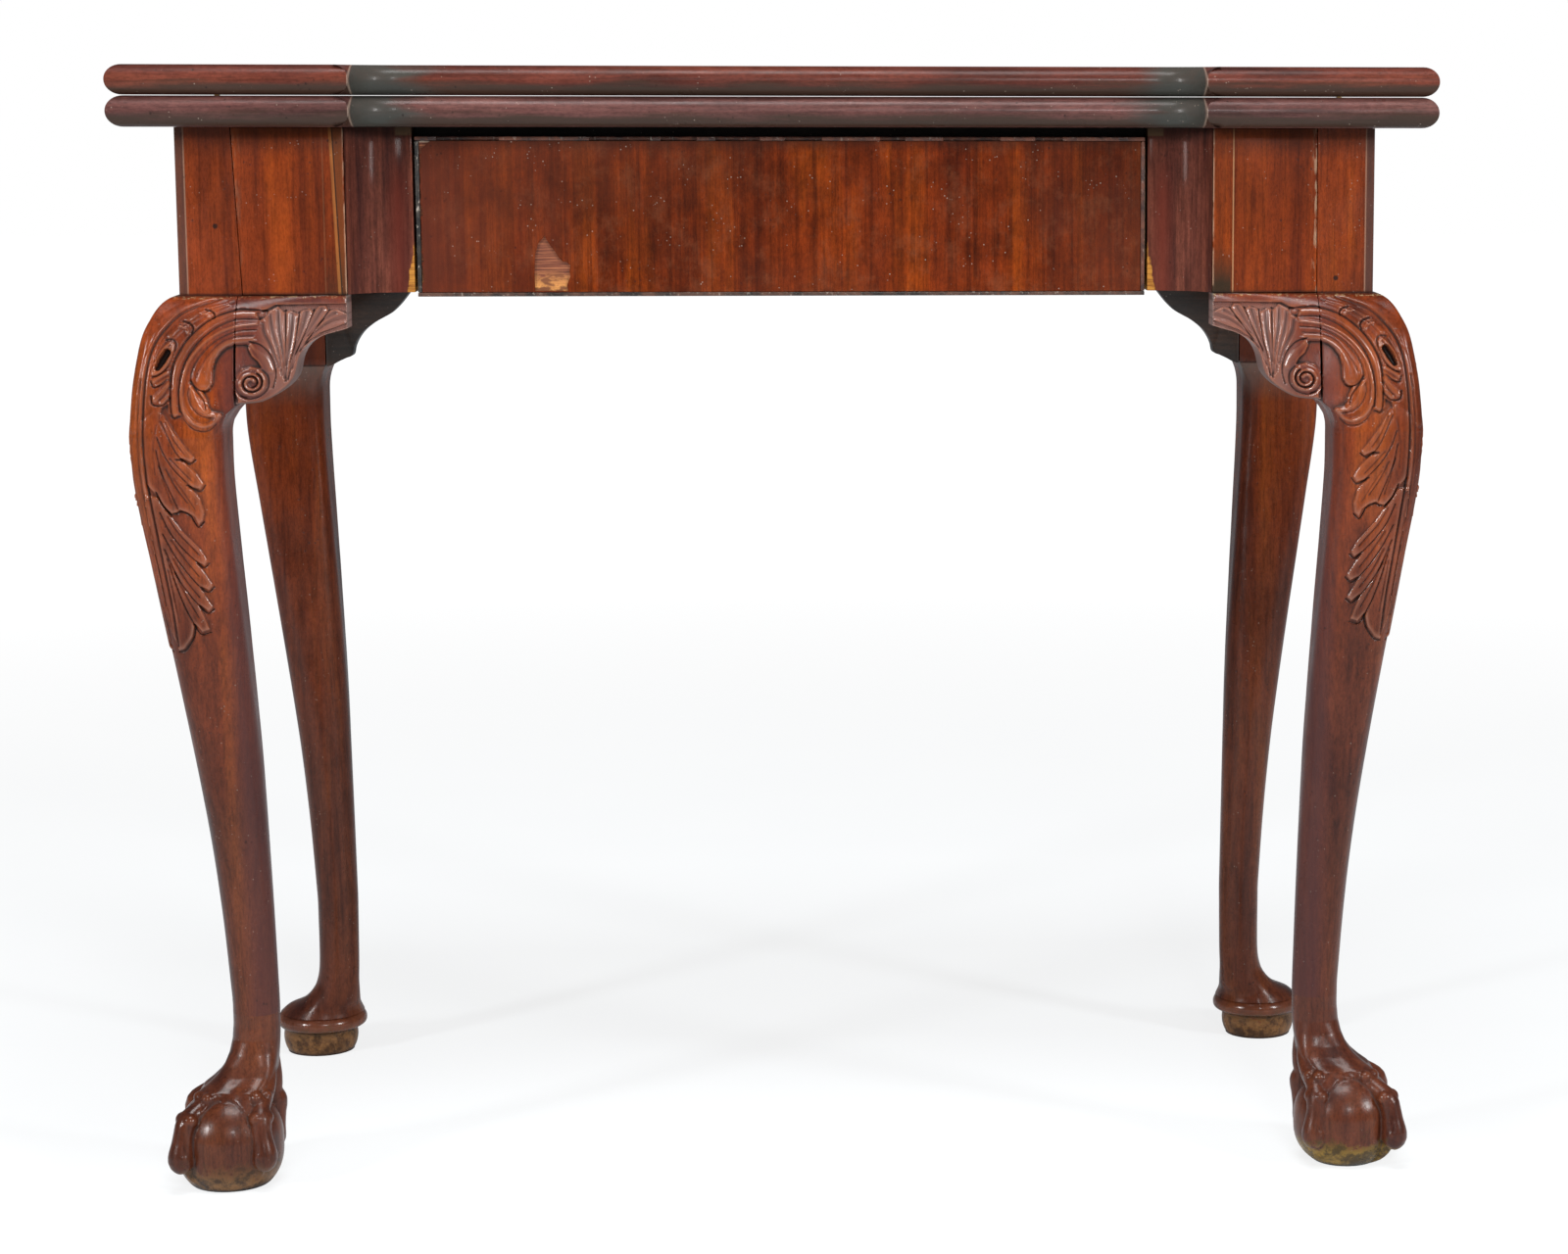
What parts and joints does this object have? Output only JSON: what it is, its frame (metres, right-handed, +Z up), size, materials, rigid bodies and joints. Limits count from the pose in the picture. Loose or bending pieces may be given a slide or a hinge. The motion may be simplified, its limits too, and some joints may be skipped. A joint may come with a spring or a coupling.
{
  "type": "card table",
  "caption": "Card table with a folding top, carved cabriole front legs on claw-and-ball feet, plain rear legs on pad feet, a swinging rear leg and a frieze drawer.",
  "frame": {"origin": "on the floor, under the middle of the closed table's overall length and depth", "axes": "+X to the right along the top's length, +Y from the drawer's side to the rear, +Z up"},
  "size_m": [0.84, 0.424, 0.7338],
  "materials": {
    "mahogany": "worn dark red-brown wax",
    "figured_veneer": "worn orange-brown polish",
    "oak": "dry, unpolished",
    "pine": "dry, unpolished",
    "brass": "dull",
    "iron": "dull, dark"
  },
  "bodies": {
    "frame": {"lower_leaf": "mahogany", "front_leg_left": "mahogany", "front_leg_right": "mahogany", "rear_leg_fixed": "mahogany", "knee_bracket_front_left": "mahogany", "knee_bracket_front_right": "mahogany", "knee_bracket_side_left": "mahogany", "knee_bracket_side_right": "mahogany", "rear_bracket_fixed": "mahogany", "frieze_block_left": "figured_veneer", "frieze_block_right": "figured_veneer", "hollow_cheek_left": "figured_veneer", "hollow_cheek_right": "figured_veneer", "side_rail_left": "mahogany", "side_rail_right": "mahogany", "inner_rear_rail": "pine", "fly_rail_fixed": "oak", "front_top_rail": "pine", "front_bottom_rail": "pine", "drawer_runner_left": "pine", "drawer_runner_right": "pine", "drawer_guide_left": "pine", "drawer_guide_right": "pine", "drawer_kicker_left": "pine", "drawer_kicker_right": "pine", "gate_pin": "iron", "hinge_plate_lower_left": "brass", "hinge_plate_lower_right": "brass", "hinge_pin_left": "brass", "hinge_pin_right": "brass", "hinge_screw_lower_left_front": "brass", "hinge_screw_lower_left_rear": "brass", "hinge_screw_lower_right_front": "brass", "hinge_screw_lower_right_rear": "brass", "leaf_screw_front_left": "iron", "leaf_screw_front_middle": "iron", "leaf_screw_front_right": "iron", "leaf_screw_rear_left": "iron", "leaf_screw_rear_right": "iron"},
    "gate": {"gate_rail": "oak", "rear_leg_gate": "mahogany", "rear_bracket_gate": "mahogany"},
    "upper_leaf": {"upper_leaf": "mahogany", "hinge_plate_upper_left": "brass", "hinge_plate_upper_right": "brass", "hinge_screw_upper_left_front": "brass", "hinge_screw_upper_left_rear": "brass", "hinge_screw_upper_right_front": "brass", "hinge_screw_upper_right_rear": "brass"},
    "drawer": {"drawer_front": "oak", "drawer_veneer": "figured_veneer", "cockbead_top": "mahogany", "cockbead_bottom": "mahogany", "cockbead_left": "mahogany", "cockbead_right": "mahogany", "drawer_side_left": "oak", "drawer_side_right": "oak", "drawer_back": "oak", "drawer_bottom": "oak"}
  },
  "joints": [
    {"name": "leaf_fold", "type": "hinge", "parent": "frame", "child": "upper_leaf", "pos_m": [0, 0.208, 0.7144], "axis": [-1, 0, 0], "range_deg": [0, 180]},
    {"name": "gate_swing", "type": "hinge", "parent": "frame", "child": "gate", "pos_m": [-0.03, 0.1548, 0.5885], "axis": [0, 0, -1], "range_deg": [0, 90]},
    {"name": "drawer_slide", "type": "slide", "parent": "frame", "child": "drawer", "axis": [0, -1, 0], "range_m": [0, 0.205]}
  ]
}
